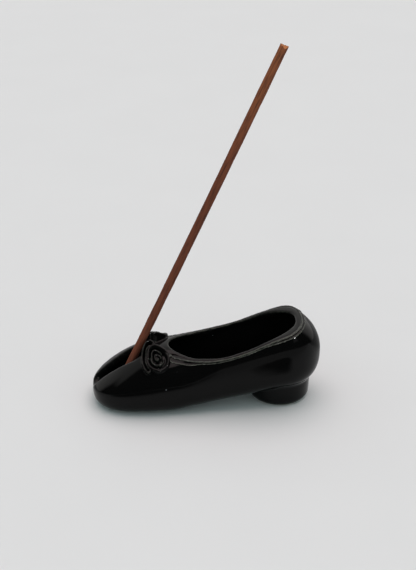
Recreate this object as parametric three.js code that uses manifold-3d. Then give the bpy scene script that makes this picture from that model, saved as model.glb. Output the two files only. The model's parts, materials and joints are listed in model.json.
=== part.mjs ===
// An incense burner in the shape of a low-heeled, open-toed slipper, hand-built in clay and glazed black.
// A stick of incense stands in a socket inside the toe and leans on the vamp.
// Millimetres, +Z up. The toe points along -X and the heel along +X. The origin is on the table, under the
// middle of the slipper. The two sides mirror each other across Y = 0.
import * as THREE from "three";
import { mergeVertices } from "three/addons/utils/BufferGeometryUtils.js";
import Module from "manifold-3d";

// ---- Driving dimensions ----
const LENGTH = 115; // toe tip to the back of the heel
const HALF = LENGTH / 2;
const WALL = 4; // thickness of the upper's clay
const SOLE = 4; // thickness of the sole slab
const JOINT = 0.3; // gap left between two pieces of clay
const TOE_CAP = -38; // the toe rounds off in front of here
const HEEL_CAP = 38; // the back rounds off behind here

// ---- Curves that set the slipper's shape, each as [x, value] ----
const HALF_WIDTH = through([[-57.5, 18], [-45, 19.6], [-30, 21.3], [-14, 21], [6, 19.8], [26, 19.6],
  [42, 19.4], [57.5, 18.5]]);
const UNDERSIDE = through([[-57.5, -0.8], [-18, -0.8], [-8, 1.2], [6, 4], [20, 6.4], [32, 8.8],
  [44, 10], [57.5, 10]]);
const WIDEST = through([[-57.5, 8.5], [-42, 11], [-20, 13], [0, 15], [20, 19], [38, 24], [57.5, 27]]);
const CROWN = through([[-57.5, 15.5], [-49, 19.6], [-42, 23.2], [-35, 26.8], [-27, 29.4], [-19, 30.6],
  [-12, 32], [-4, 34.5], [6, 38], [18, 41], [30, 43.3], [42, 45.3], [57.5, 46]]);
const COLLAR_START = -26; // the topline is cut from here to the back
const TOPLINE = through([[COLLAR_START, 34], [-20, 31.6], [-14, 29.9], [-6, 29], [6, 30.2], [18, 33.4],
  [28, 37.5], [38, 41], [46, 43.3], [60, 46]]);
// How square a cross-section is above its widest line: round over the toe, fuller round the collar.
const SHOULDER = through([[-12, 2.1], [-4, 2.3], [6, 2.75], [18, 3], [30, 3.35], [42, 3.5], [50, 2.7],
  [57.5, 2.3]]);
const BILGE = 3.2; // squareness below it
const TOE_ROUND = { width: 2.4, crown: 2, underside: 3.2 };
const HEEL_ROUND = { width: 2.2, crown: 2, underside: 2.5 };

// ---- Openings ----
const FOOT_HOLE = { middle: 12.8, halfLength: 31.6, halfWidth: 15.4, bottom: 20 };
const TOE_SLOT = { back: -31.6, halfWidth: 5.9, tipHalfWidth: 3, sill: 9 };
const REACH = 80; // further than any part of the slipper from the origin, for the cutting shapes

// ---- Applied pieces ----
const HEEL = { x: 36.9, radius: 15.8, taper: 0.7, edge: 3.6, top: 14 };
const BINDING = { radius: 0.95, start: -17.5, steps: 26, endShare: 0.6 };
// How far the binding runs below the topline.
const BINDING_DROP = through([[-17.5, 2.8], [-8, 1.7], [4, 1], [57.5, 1]]);
const ROSE = { x: -24.4, y: 10.4, z: 25.9, tilt: 34, squash: 0.84 }; // squash narrows it from toe to heel
const BUD = { radius: 2.1, height: 4.9 };
const ROOT = 5; // how far petals and buds reach below the rose's seat, to be cut off at the slipper's skin
// A petal's lip, as shares of its height: the ends are lower than the middle. Its ends are thinner too.
const LIP = { ends: 0.72, swell: 0.28, thinEnd: 0.55 };
// Rings of petals: angles in degrees, 0 towards the heel, 90 down the side, 180 towards the toe. The outer
// ring starts where the inner one is narrowest, so the two nest like one spiral.
const PETALS = { count: 3, sweep: 146, flare: 0.5, thick: 1.2 };
const INNER_PETALS = { ...PETALS, begin: 40, from: 2.85, to: 4.75, height: 4.4 };
const OUTER_PETALS = { ...PETALS, begin: 68, from: 4.8, to: 6.7, height: 4 };
const FRILL = { ...PETALS, count: 1, begin: 128, sweep: 118, from: 9.5, to: 9.5, height: 3, thick: 2.5 };
const STICK = { diameter: 4.1, length: 194, lean: 24.43, foot: [-44.3, 0, 6.3] };
// The socket stands a little behind the stick's foot, to follow its lean.
const SOCKET = { radius: 5.4, bore: 4.9, height: 8.5, shift: 1.6 };

const GLAZE = new THREE.MeshStandardMaterial({ color: 0x0b0b0c, roughness: 0.12, metalness: 0 });
const INCENSE = new THREE.MeshStandardMaterial({ color: 0x5e3324, roughness: 0.9, metalness: 0 });

const wasm = await Module();
wasm.setup();

// A smooth curve through [x, value] knots, level beyond its ends.
function through(knots) {
  const slope = knots.map((_, i) => {
    const before = knots[Math.max(i - 1, 0)];
    const after = knots[Math.min(i + 1, knots.length - 1)];
    return (after[1] - before[1]) / (after[0] - before[0]);
  });
  return (x) => {
    const last = knots.length - 1;
    if (x <= knots[0][0]) return knots[0][1];
    if (x >= knots[last][0]) return knots[last][1];
    const i = knots.findIndex((k) => k[0] > x) - 1;
    const span = knots[i + 1][0] - knots[i][0];
    const t = (x - knots[i][0]) / span;
    const s = 1 - t;
    return s * s * (1 + 2 * t) * knots[i][1] + t * t * (1 + 2 * s) * knots[i + 1][1] +
      span * t * s * (s * slope[i] - t * slope[i + 1]);
  };
}

// ---- Meshes and solids ----
function geometryOf(points, triangles) {
  const g = new THREE.BufferGeometry();
  const numbers = points.flatMap((p) => [p.x, p.y, p.z]);
  g.setAttribute("position", new THREE.Float32BufferAttribute(numbers, 3));
  g.setIndex(triangles);
  return g;
}

// A closed skin over rings of points, with a point at each end.
function loft(rings, first, last) {
  const n = rings[0].length;
  const points = [...rings.flat(), first, last];
  const triangles = [];
  const at = (i, j) => i * n + (j % n);
  for (let j = 0; j < n; j++) {
    triangles.push(points.length - 2, at(0, j + 1), at(0, j));
    triangles.push(points.length - 1, at(rings.length - 1, j), at(rings.length - 1, j + 1));
    for (let i = 0; i + 1 < rings.length; i++) {
      triangles.push(at(i, j), at(i, j + 1), at(i + 1, j + 1), at(i, j), at(i + 1, j + 1), at(i + 1, j));
    }
  }
  return geometryOf(points, triangles);
}

function middleOf(ring) {
  const sum = ring.reduce((s, p) => s.add(p), new THREE.Vector3());
  return sum.divideScalar(ring.length);
}

function solid(geometry) {
  const bare = geometry.clone();
  bare.deleteAttribute("normal");
  bare.deleteAttribute("uv");
  const g = mergeVertices(bare, 1e-4);
  const make = (triVerts) => new wasm.Manifold(new wasm.Mesh({
    numProp: 3,
    vertProperties: new Float32Array(g.attributes.position.array),
    triVerts,
  }));
  const made = make(new Uint32Array(g.index.array));
  if (made.volume() > 0) return made;
  return make(new Uint32Array(g.index.array).reverse());
}

function geometryFrom(made) {
  const m = made.getMesh();
  const g = new THREE.BufferGeometry();
  const p = new Float32Array(m.numVert * 3);
  for (let i = 0; i < m.numVert; i++) {
    p.set(m.vertProperties.subarray(i * m.numProp, i * m.numProp + 3), i * 3);
  }
  g.setAttribute("position", new THREE.BufferAttribute(p, 3));
  g.setIndex(new THREE.BufferAttribute(new Uint32Array(m.triVerts), 1));
  return g;
}

// ---- The slipper's own shape ----
// How far a cross-section at x has closed, 1 in the middle and 0 at the tip.
function closing(x, inset, power) {
  const toe = [TOE_CAP, -HALF + inset, TOE_ROUND];
  const heel = [HEEL_CAP, HALF - inset, HEEL_ROUND];
  const [start, end, round] = x < 0 ? toe : heel;
  const u = THREE.MathUtils.clamp((x - start) / (end - start), 0, 1);
  return (1 - u ** round[power]) ** (1 / round[power]);
}

// The cross-section of the slipper's outside at x, drawn in by inset.
function sectionAt(x, inset = 0) {
  const middle = WIDEST(x);
  return {
    middle,
    width: (HALF_WIDTH(x) - inset) * closing(x, inset, "width"),
    rise: (CROWN(x) - middle - inset) * closing(x, inset, "crown"),
    fall: (middle - UNDERSIDE(x) - inset) * closing(x, inset, "underside"),
  };
}

function sectionPoint(x, angle, inset) {
  const s = sectionAt(x, inset);
  const c = Math.cos(angle);
  const d = Math.sin(angle);
  const power = 2 / (d > 0 ? SHOULDER(x) : BILGE);
  const z = s.middle + (d > 0 ? s.rise : -s.fall) * Math.abs(d) ** power;
  return new THREE.Vector3(x, s.width * Math.sign(c) * Math.abs(c) ** power, z);
}

function last(inset, stations, around) {
  const rings = [];
  const end = HALF - inset;
  for (let i = 1; i < stations; i++) {
    const x = -end * Math.cos((Math.PI * i) / stations);
    const angle = (j) => (2 * Math.PI * j) / around;
    rings.push(Array.from({ length: around }, (_, j) => sectionPoint(x, angle(j), inset)));
  }
  const tip = (x) => new THREE.Vector3(x, 0, WIDEST(x));
  return solid(loft(rings, tip(-end), tip(end)));
}

// Half the slipper's outside width at a height above the widest line.
function halfWidthAt(x, z) {
  const s = sectionAt(x);
  const up = s.rise > 0 ? THREE.MathUtils.clamp((z - s.middle) / s.rise, 0, 1) : 1;
  return s.width * (1 - up ** SHOULDER(x)) ** (1 / SHOULDER(x));
}

// A prism across the whole width whose side view is everything over, or under, a curve z(x).
function prismAcross(curve, from, edge) {
  const steps = 40;
  const outline = [];
  for (let i = 0; i <= steps; i++) {
    const x = from + ((REACH - from) * i) / steps;
    outline.push(new THREE.Vector2(x, curve(x)));
  }
  outline.push(new THREE.Vector2(REACH, edge), new THREE.Vector2(from, edge));
  const g = new THREE.ExtrudeGeometry(new THREE.Shape(outline), { depth: REACH, bevelEnabled: false });
  g.rotateX(Math.PI / 2).translate(0, REACH / 2, 0);
  return solid(g);
}

function prismUp(shape, bottom) {
  const depth = REACH - bottom;
  const g = new THREE.ExtrudeGeometry(shape, { depth, bevelEnabled: false, curveSegments: 14 });
  return solid(g.translate(0, 0, bottom));
}

function footHole() {
  const shape = new THREE.Shape();
  shape.absellipse(FOOT_HOLE.middle, 0, FOOT_HOLE.halfLength, FOOT_HOLE.halfWidth, 0, 2 * Math.PI);
  return prismUp(shape, FOOT_HOLE.bottom);
}

function toeSlot() {
  const { back, halfWidth, tipHalfWidth, sill } = TOE_SLOT;
  const turn = back - halfWidth;
  const front = -HALF - WALL;
  const shape = new THREE.Shape();
  shape.moveTo(front, -tipHalfWidth);
  shape.lineTo(turn, -halfWidth);
  shape.absarc(turn, 0, halfWidth, -Math.PI / 2, Math.PI / 2, false);
  shape.lineTo(front, tipHalfWidth);
  return prismUp(shape, sill);
}

// ---- Pieces of clay ----
function upper(outside) {
  const cavity = last(WALL, 28, 26).add(footHole()).add(toeSlot());
  return outside
    .subtract(cavity)
    .subtract(prismAcross(TOPLINE, COLLAR_START, REACH))
    .subtract(prismAcross((x) => Math.max(UNDERSIDE(x), 0) + SOLE + JOINT, -REACH, -REACH));
}

function outsole(outside) {
  return outside
    .subtract(prismAcross((x) => Math.max(UNDERSIDE(x), 0) + SOLE, -REACH, REACH))
    .subtract(prismAcross(() => 0, -REACH, -REACH));
}

function heelBlock(outside) {
  const { x, radius, taper, edge, top } = HEEL;
  const flat = radius - taper - edge;
  const steps = 5;
  const profile = [new THREE.Vector2(0, 0), new THREE.Vector2(flat, 0)];
  for (let i = 1; i <= steps; i++) {
    const a = (Math.PI / 2) * (i / steps);
    profile.push(new THREE.Vector2(flat + edge * Math.sin(a), edge - edge * Math.cos(a)));
  }
  profile.push(new THREE.Vector2(radius, top), new THREE.Vector2(0, top));
  const g = new THREE.LatheGeometry(profile, 40).rotateX(Math.PI / 2).translate(x, 0, 0);
  return solid(g).subtract(outside.translate([0, 0, -JOINT]));
}

// A rounded cord along a run of points: the closed skin of a row of rings that shrink at both ends.
function cord(points, radius, around) {
  const n = points.length - 1;
  const rings = points.map((p, i) => {
    const along = points[Math.min(i + 1, n)].clone().sub(points[Math.max(i - 1, 0)]).normalize();
    const side = new THREE.Vector3(0, 0, 1).cross(along).normalize();
    const up = along.clone().cross(side);
    const size = radius * (i === 0 || i === n ? BINDING.endShare : 1);
    return Array.from({ length: around }, (_, j) => {
      const a = (2 * Math.PI * j) / around;
      return p.clone().addScaledVector(side, size * Math.cos(a)).addScaledVector(up, size * Math.sin(a));
    });
  });
  const beyond = (end, next) => {
    const outward = end.clone().sub(next).normalize();
    return end.clone().addScaledVector(outward, radius / 2);
  };
  return solid(loft(rings, beyond(points[0], points[1]), beyond(points[n], points[n - 1])));
}

// The line on the outside of the slipper a little under its topline, from near the vamp round the back.
function bindingLine() {
  const point = (x) => {
    const z = TOPLINE(x) - BINDING_DROP(x);
    return new THREE.Vector3(x, halfWidthAt(x, z), z);
  };
  const { start, steps } = BINDING;
  const fine = 0.05;
  let end = HEEL_CAP;
  while (point(end + fine).y > 0) end += fine;
  const side = Array.from({ length: steps }, (_, i) => {
    return point(start + (end - start) * Math.sin((Math.PI / 2) * (i / steps)));
  });
  const mirrored = side.map((p) => new THREE.Vector3(p.x, -p.y, p.z)).reverse();
  return [...side, point(end), ...mirrored];
}

function collarBinding(clearance) {
  return cord(bindingLine(), BINDING.radius, 6).subtract(clearance);
}

// ---- The roses ----
// Where a rose sits: side is -1 for the near rose and 1 for the far one.
function roseSeat(side) {
  const m = new THREE.Matrix4().makeRotationX(THREE.MathUtils.degToRad(-side * ROSE.tilt));
  m.setPosition(ROSE.x, side * ROSE.y, ROSE.z);
  return m.scale(new THREE.Vector3(ROSE.squash, 1, 1));
}

function bud(side) {
  const { radius, height } = BUD;
  const profile = [[0, -ROOT], [radius * 0.9, -ROOT], [radius, height * 0.5], [radius * 0.9, height * 0.85],
    [radius * 0.6, height], [radius * 0.3, height * 0.95], [0, height * 0.8]];
  const g = new THREE.LatheGeometry(profile.map(([r, z]) => new THREE.Vector2(r, z)), 16);
  g.rotateX(Math.PI / 2);
  return solid(g.applyMatrix4(roseSeat(side)));
}

// One petal: a strip of clay that wraps part of the way round the bud. In a ring its radius grows as it
// goes, so that each petal tucks behind the next one.
function petal(side, ring, index) {
  const { count, begin, sweep, from, to, flare, height, thick } = ring;
  const stations = 9;
  const rings = Array.from({ length: stations }, (_, i) => {
    const t = i / (stations - 1);
    const a = side * THREE.MathUtils.degToRad(begin + (360 / count) * index + sweep * t);
    const r = from + (to - from) * t;
    const lip = height * (LIP.ends + LIP.swell * Math.sin(Math.PI * t));
    const half = (thick / 2) * (i === 0 || i === stations - 1 ? LIP.thinEnd : 1);
    const strip = [[-half, -ROOT], [half, -ROOT], [half + flare * 0.4, lip * 0.5],
      [half + flare, lip * 0.9], [flare, lip], [flare - half, lip * 0.92], [flare * 0.3 - half, lip * 0.5]];
    const outward = new THREE.Vector3(Math.cos(a), Math.sin(a), 0);
    const points = strip.map(([out, z]) => outward.clone().multiplyScalar(r + out).setZ(z));
    return side < 0 ? points.reverse() : points;
  });
  const g = loft(rings, middleOf(rings[0]), middleOf(rings[stations - 1]));
  return solid(g.applyMatrix4(roseSeat(side)));
}

// ---- The incense and its socket ----
function leaning(geometry, lift = 0) {
  const a = THREE.MathUtils.degToRad(STICK.lean);
  const axis = new THREE.Vector3(Math.sin(a), 0, Math.cos(a));
  const turn = new THREE.Quaternion().setFromUnitVectors(new THREE.Vector3(0, 0, 1), axis);
  return geometry.translate(0, 0, lift).applyQuaternion(turn).translate(...STICK.foot);
}

// A closed rod standing on the origin.
function rod(radius, length, around) {
  const g = new THREE.CylinderGeometry(radius, radius, length, around);
  return g.rotateX(Math.PI / 2).translate(0, 0, length / 2);
}

function stick() {
  return solid(leaning(rod(STICK.diameter / 2, STICK.length, 20)));
}

function stickSocket() {
  const { radius, bore, height, shift } = SOCKET;
  const boss = rod(radius, height, 28).translate(STICK.foot[0] + shift, 0, SOLE + JOINT);
  const room = last(WALL + JOINT, 24, 24);
  return solid(boss).intersect(room).subtract(solid(leaning(rod(bore / 2, 2 * height, 20), -JOINT)));
}

// ---- The assembly ----
const slipper = new THREE.Group();

function place(name, made, material = GLAZE) {
  const mesh = new THREE.Mesh(geometryFrom(made), material.clone());
  mesh.name = name;
  slipper.add(mesh);
}

function placeRose(word, side, clearance) {
  place(`rose_${word}_bud`, bud(side).subtract(clearance));
  const rings = { inner_petal: INNER_PETALS, outer_petal: OUTER_PETALS, frill: FRILL };
  for (const [name, ring] of Object.entries(rings)) {
    for (let i = 0; i < ring.count; i++) {
      place(`rose_${word}_${name}_${i + 1}`, petal(side, ring, i).subtract(clearance));
    }
  }
}

const outside = last(0, 40, 32);
const clearance = last(-JOINT, 40, 32);
place("upper", upper(outside));
place("outsole", outsole(outside));
place("heel_block", heelBlock(outside));
place("collar_binding", collarBinding(clearance));
placeRose("near", -1, clearance);
placeRose("far", 1, clearance);
place("stick_socket", stickSocket());
place("incense_stick", stick(), INCENSE);

export default slipper;
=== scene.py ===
"""An incense burner: a black-glazed ceramic slipper, two roses on its vamp and a stick of incense in its toe.

It is laid out as an add-on and run as a script. The clay is worked out in millimetres, as fields of signed
distance (negative inside the clay), and becomes meshes in metres. The toe points along -X. The two sides
follow the same curves, but the clay's lumps and the petals' waves differ, and the far rose stands prouder.
"""

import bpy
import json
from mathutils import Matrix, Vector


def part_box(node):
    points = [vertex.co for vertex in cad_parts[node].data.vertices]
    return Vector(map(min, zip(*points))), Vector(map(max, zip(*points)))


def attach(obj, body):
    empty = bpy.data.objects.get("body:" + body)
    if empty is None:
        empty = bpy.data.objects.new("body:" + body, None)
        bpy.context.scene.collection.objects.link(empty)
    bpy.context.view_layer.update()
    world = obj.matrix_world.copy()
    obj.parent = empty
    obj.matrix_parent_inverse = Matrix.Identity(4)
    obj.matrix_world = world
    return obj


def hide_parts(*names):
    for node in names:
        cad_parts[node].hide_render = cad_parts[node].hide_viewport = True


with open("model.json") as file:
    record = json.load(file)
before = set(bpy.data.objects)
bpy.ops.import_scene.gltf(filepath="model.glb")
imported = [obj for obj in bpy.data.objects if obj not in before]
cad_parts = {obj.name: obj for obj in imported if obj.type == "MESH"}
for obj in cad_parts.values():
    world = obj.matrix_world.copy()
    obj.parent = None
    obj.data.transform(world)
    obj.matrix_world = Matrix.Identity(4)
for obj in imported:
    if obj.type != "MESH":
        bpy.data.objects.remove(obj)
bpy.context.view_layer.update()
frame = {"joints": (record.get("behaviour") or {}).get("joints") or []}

import functools
import json
import math

import bpy
import numpy as np
import openvdb
from bpy.props import FloatProperty, FloatVectorProperty, PointerProperty
from mathutils import Vector

bl_info = {
    "name": "Slipper Incense Burner",
    "version": (1, 0, 0),
    "blender": (4, 5, 0),
    "location": "3D View > Sidebar > Burner",
    "description": "Makes a glazed slipper with roses and a stick of incense, piece by piece",
    "category": "Add Mesh",
}

MM = 0.001
SIDES = {"near": -1, "far": 1}


def linear(hex_colour):
    """An sRGB hex colour as linear red, green and blue."""
    channels = [int(hex_colour[i : i + 2], 16) / 255 for i in (0, 2, 4)]
    return tuple(c / 12.92 if c <= 0.04045 else ((c + 0.055) / 1.055) ** 2.4 for c in channels)


# ---- Sizes and colours that a user would change


def length(name, text, millimetres):
    return FloatProperty(
        name=name, description=text, default=millimetres * MM, unit="LENGTH", min=0, precision=5
    )


def colour(name, text, hex_colour):
    return FloatVectorProperty(
        name=name, description=text, default=linear(hex_colour), subtype="COLOR", min=0, max=1
    )


def strength(name, text, value):
    return FloatProperty(name=name, description=text, default=value, min=0)


class SlipperSizes(bpy.types.PropertyGroup):
    """Sizes of the clay."""

    wall: length("Wall", "Thickness of the clay in the shell", 4)
    rim_wall: length("Rim wall", "Thickness of the clay at the rim", 1.7)
    rim: length("Rim rounding", "Radius on the edge of the foot opening", 0.9)
    slot_edge: length("Slot rounding", "Radius on the edge of the slot in the toe", 2)
    foot_line: length("Foot line", "How far above the table the glaze stops", 1)
    petal: length("Petal", "Thickness of a rose petal", 1.15)
    shell_grain: length("Shell detail", "Spacing of the points that the shell is worked out on", 0.5)
    binding_grain: length("Binding detail", "Spacing of the points that the binding is worked out on", 0.3)
    rose_grain: length("Rose detail", "Spacing of the points that the roses are worked out on", 0.2)


class FinishColours(bpy.types.PropertyGroup):
    """Colours of the finishes."""

    glaze: colour("Glaze", "The black glaze where it lies thick", "090909")
    glaze_break: colour("Glaze break", "The glaze where it runs thin over an edge", "454640")
    # Pale grey on the sharpest edges: partly the thinnest glaze, partly a painted highlight where edges catch
    # the light.
    edge_glaze_and_highlight: colour("Glaze edge", "The glaze where it is thinnest, on the sharpest edges", "96948C")
    speck: colour("Speck", "Pinholes and dust in the glaze", "7C8084")
    bare_clay: colour("Bare clay", "The unglazed foot", "A89A86")
    paste: colour("Incense", "The brown paste of the stick", "703821")
    # Paler towards the top of the stick; the colour changes by height alone.
    paste_upper: colour("Dry incense", "The paste towards the top, where it has dried paler", "9E5A31")
    paste_grain: colour("Incense grain", "The darker grain in the paste", "4A2416")
    paste_core: colour("Incense core", "The broken end of the stick", "B4703F")


class StageSettings(bpy.types.PropertyGroup):
    """The floor, the light and the camera."""

    floor: colour("Floor", "The pale surface under the burner", "DEDFDF")
    sky: colour("Sky", "The cool light from all round", "EBFFFF")
    pale_room: colour("Pale room", "What the back of the glaze reflects", "F4F3F0")
    room: colour("Room", "What the front of the glaze reflects", "0A0B0D")
    fill: strength("Fill", "How strong the light from all round is", 0.62)
    key: strength("Key", "How strong the soft light from above is", 1.52)
    distance: length("Camera distance", "From the point the camera looks at to the camera", 657.6)
    focal: length("Focal length", "The focal length of the camera's lens", 84.63)


# ---- The slipper's shape. Its curves are the CAD model's own; the foot opening, rim and binding are finer.

TOE_CAP = -38
HEEL_CAP = 38


def millimetre_box(*nodes):
    """The lowest and highest corners, in millimetres, of the box that holds these CAD nodes."""
    corners = [[np.array(corner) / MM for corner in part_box(node)] for node in nodes]
    return np.min([low for low, _ in corners], 0), np.max([high for _, high in corners], 0)


HALF = millimetre_box("upper")[1][0]


def through(*knots):
    """A smooth curve through (x, value) knots, level beyond its ends."""
    xs, ys = np.array(knots, float).T
    before = np.maximum(np.arange(len(xs)) - 1, 0)
    after = np.minimum(np.arange(len(xs)) + 1, len(xs) - 1)
    slope = (ys[after] - ys[before]) / (xs[after] - xs[before])

    def value(x):
        x = np.clip(x, xs[0], xs[-1])
        i = np.clip(np.searchsorted(xs, x, side="right") - 1, 0, len(xs) - 2)
        span = xs[i + 1] - xs[i]
        t = (x - xs[i]) / span
        s = 1 - t
        ends = s * s * (1 + 2 * t) * ys[i] + t * t * (1 + 2 * s) * ys[i + 1]
        return ends + span * t * s * (s * slope[i] - t * slope[i + 1])

    return value


HALF_WIDTH = through(
    (-57.5, 18), (-45, 19.6), (-30, 21.3), (-14, 21), (6, 19.8), (26, 19.6), (42, 19.4), (57.5, 18.5)
)
UNDERSIDE = through(
    (-57.5, -0.8), (-18, -0.8), (-8, 1.2), (6, 4), (20, 6.4), (32, 8.8), (44, 10), (57.5, 10)
)
WIDEST = through((-57.5, 8.5), (-42, 11), (-20, 13), (0, 15), (20, 19), (38, 24), (57.5, 27))
CROWN = through(
    (-57.5, 15.5), (-49, 19.6), (-42, 23.2), (-35, 26.8), (-27, 29.4), (-19, 30.6), (-12, 32),
    (-4, 34.5), (6, 38), (18, 41), (30, 43.3), (42, 45.3), (57.5, 46),
)
TOPLINE = through(
    (-26, 34), (-20, 31.6), (-14, 29.9), (-6, 29), (6, 30.2), (18, 33.4), (28, 37.5), (38, 41),
    (46, 43.3), (60, 46),
)
# How square a cross-section is above its widest line: round over the toe, fuller round the collar.
SHOULDER = through(
    (-12, 2.1), (-4, 2.3), (6, 2.75), (18, 3), (30, 3.35), (42, 3.5), (50, 2.7), (57.5, 2.3)
)
BILGE = 3.2  # squareness below it
TOE_ROUND = {"width": 2.4, "crown": 2, "underside": 3.2}
HEEL_ROUND = {"width": 2.2, "crown": 2, "underside": 2.5}

# The opening is an oval of this power, which rises by "fuller" over the turn towards the back.
FOOT_HOLE = {
    "middle": 12.8, "half_length": 31.6, "half_width": 15.4, "from": 20,
    "power": 2, "fuller": 0.6, "turn": (12, 28),
}
TOE_SLOT = {"back": -31.6, "half_width": 5.9, "tip_half_width": 3, "sill": 9}
SKIN = {"dip": 0.1, "across": 13}  # how deep and how wide the outside's gentle lumps are
# The rim thickens to a whole wall over these x, and below the topline over this depth. It is a little uneven.
RIM = {"thickens": (12, 36), "depth": 14, "uneven": 0.25, "across": 8}
INNER_FILLET = 1
GLAZE_LIP = 0.4  # rounding where the glaze stops above the foot
FOOT = {"inset": 0.1, "top_edge": 0.1, "edge": 0.3}
HEEL = {"taper": 0.7, "edge": 3.6, "uneven": 0.12, "across": 9, "fillet": 1.6, "root": 0.8}
BINDING_START = -17.5
BINDING_DROP = through((-17.5, 2.6), (-8, 1.5), (-2, 1), (57.5, 0.9))
BINDING_GAP = through(
    (-17.5, 1.25), (-8.7, 0.95), (-3.8, 0.5), (8, 0.3), (28, 0.3), (38, 0.65), (57.5, 0.75)
)
BEAD = {"radius": 0.38, "out": 0.12, "fillet": 0.2, "root": 1}
BEAD_UNEVEN = ((0.08, 1.1, 4), (0.05, 3, 5))  # depth, width and seed of each set of lumps on it
STRIP = {"under": 0.6, "half_thickness": 0.5, "join": 0.1}  # the flat strip between the two beads
LEAST_STEEP = 0.15  # keeps the topline's slope along the skin from vanishing
TINY = 1e-6


def smoothstep(value, start, end):
    t = np.clip((value - start) / (end - start), 0, 1)
    return t * t * (3 - 2 * t)


def closing(x, power):
    """How far the cross-section at x has closed: 1 in the middle of the slipper and 0 at its tips."""
    toe = np.clip((TOE_CAP - x) / (TOE_CAP + HALF), 0, 1) ** TOE_ROUND[power]
    heel = np.clip((x - HEEL_CAP) / (HALF - HEEL_CAP), 0, 1) ** HEEL_ROUND[power]
    return (1 - toe) ** (1 / TOE_ROUND[power]) * (1 - heel) ** (1 / HEEL_ROUND[power])


def last_skin(stations=280, around=240):
    """The closed outside of the whole slipper before it is opened: points, quads and triangles."""
    x = -HALF * np.cos(np.pi * np.arange(1, stations) / stations)
    angle = 2 * np.pi * np.arange(around) / around
    x, angle = np.meshgrid(x, angle, indexing="ij")
    middle = WIDEST(x)
    across, up = np.cos(angle), np.sin(angle)
    power = np.where(up > 0, 2 / SHOULDER(x), 2 / BILGE)
    rise = (CROWN(x) - middle) * closing(x, "crown")
    fall = (middle - UNDERSIDE(x)) * closing(x, "underside")
    y = HALF_WIDTH(x) * closing(x, "width") * np.sign(across) * np.abs(across) ** power
    z = middle + np.where(up > 0, rise, -fall) * np.abs(up) ** power
    points = np.stack([x, y, z], -1).reshape(-1, 3)
    tips = [[-HALF, 0, WIDEST(-HALF)], [HALF, 0, WIDEST(HALF)]]
    j = np.arange(around)
    k = (j + 1) % around
    quads = [
        np.stack([i * around + j, i * around + k, (i + 1) * around + k, (i + 1) * around + j], -1)
        for i in range(stations - 2)
    ]
    end = (stations - 2) * around
    first = np.stack([np.full(around, len(points)), k, j], -1)
    final = np.stack([np.full(around, len(points) + 1), end + j, end + k], -1)
    return np.vstack([points, tips]), np.vstack(quads), np.vstack([first, final])


# ---- Fields of signed distance

BAND = 4  # how many spacings each side of a skin are kept when it is meshed


class Block:
    """A block of evenly spaced sample points, in millimetres."""

    def __init__(self, low, high, step):
        self.step = step
        self.first = np.floor(np.array(low) / step).astype(int)
        last = np.ceil(np.array(high) / step).astype(int)
        lines = [np.arange(a, b + 1) * step for a, b in zip(self.first, last)]
        self.x, self.y, self.z = np.meshgrid(*lines, indexing="ij")
        self.place = np.stack([self.x, self.y, self.z], -1)
        self.corner = tuple(int(i) for i in self.first)
        self.scale = openvdb.createLinearTransform(step)

    def distance_from(self, points, quads, triangles, reach):
        """Signed distance from a closed skin, exact within reach of it."""
        grid = openvdb.FloatGrid.createLevelSetFromPolygons(
            points.astype(np.float32), triangles=triangles.astype(np.uint32), quads=quads.astype(np.uint32),
            transform=self.scale, halfWidth=reach / self.step,
        )
        values = np.zeros(self.x.shape, np.float32)
        grid.copyToArray(values, ijk=self.corner)
        return values.astype(float)

    def skin(self, field):
        """The closed skin where a field is zero: points and quads."""
        limit = BAND * self.step
        grid = openvdb.FloatGrid(limit)
        grid.transform = self.scale
        grid.copyFromArray(np.clip(field, -limit, limit).astype(np.float32), ijk=self.corner)
        points, quads = grid.convertToQuads(0.0)
        return points.astype(float), quads.astype(np.int64)

    def sample(self, field, other):
        """A field of this block at another block's points, read between its own points."""
        place = np.clip(other.place / self.step - self.first, 0, np.array(field.shape) - 1.001)
        cell = place.astype(int)
        return blend_corners(field, cell, place - cell)


def blend_corners(values, cell, part):
    """Values between the eight corners of each cell."""
    total = 0
    size = np.array(values.shape)
    for corner in np.ndindex(2, 2, 2):
        weight = np.prod(np.where(corner, part, 1 - part), -1)
        total = total + weight * values[tuple(np.moveaxis((cell + corner) % size, -1, 0))]
    return total


def lumps(place, size, seed):
    """Smooth noise between -1 and 1 that varies over about size millimetres."""
    lattice = np.random.default_rng(seed).uniform(-1, 1, (32, 32, 32))
    place = place / size
    cell = np.floor(place).astype(int)
    part = place - cell
    return blend_corners(lattice, cell, part * part * (3 - 2 * part))


def both(a, b, radius):
    """What is inside both fields, with the edge between them rounded."""
    corner = np.hypot(np.maximum(a + radius, 0), np.maximum(b + radius, 0))
    return np.minimum(np.maximum(a, b), -radius) + corner


def either(a, b, radius):
    """What is inside either field, with the corner between them filled."""
    return -both(-a, -b, radius)


def fused(piece, clay, fillet, root):
    """A piece with a glaze fillet where it meets the clay under it, and a root reaching into that clay."""
    under_skin = 0.05
    joined = np.maximum(either(piece, clay + under_skin, fillet), piece - fillet)
    return np.maximum(joined, -clay - root)


# ---- Meshes


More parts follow.
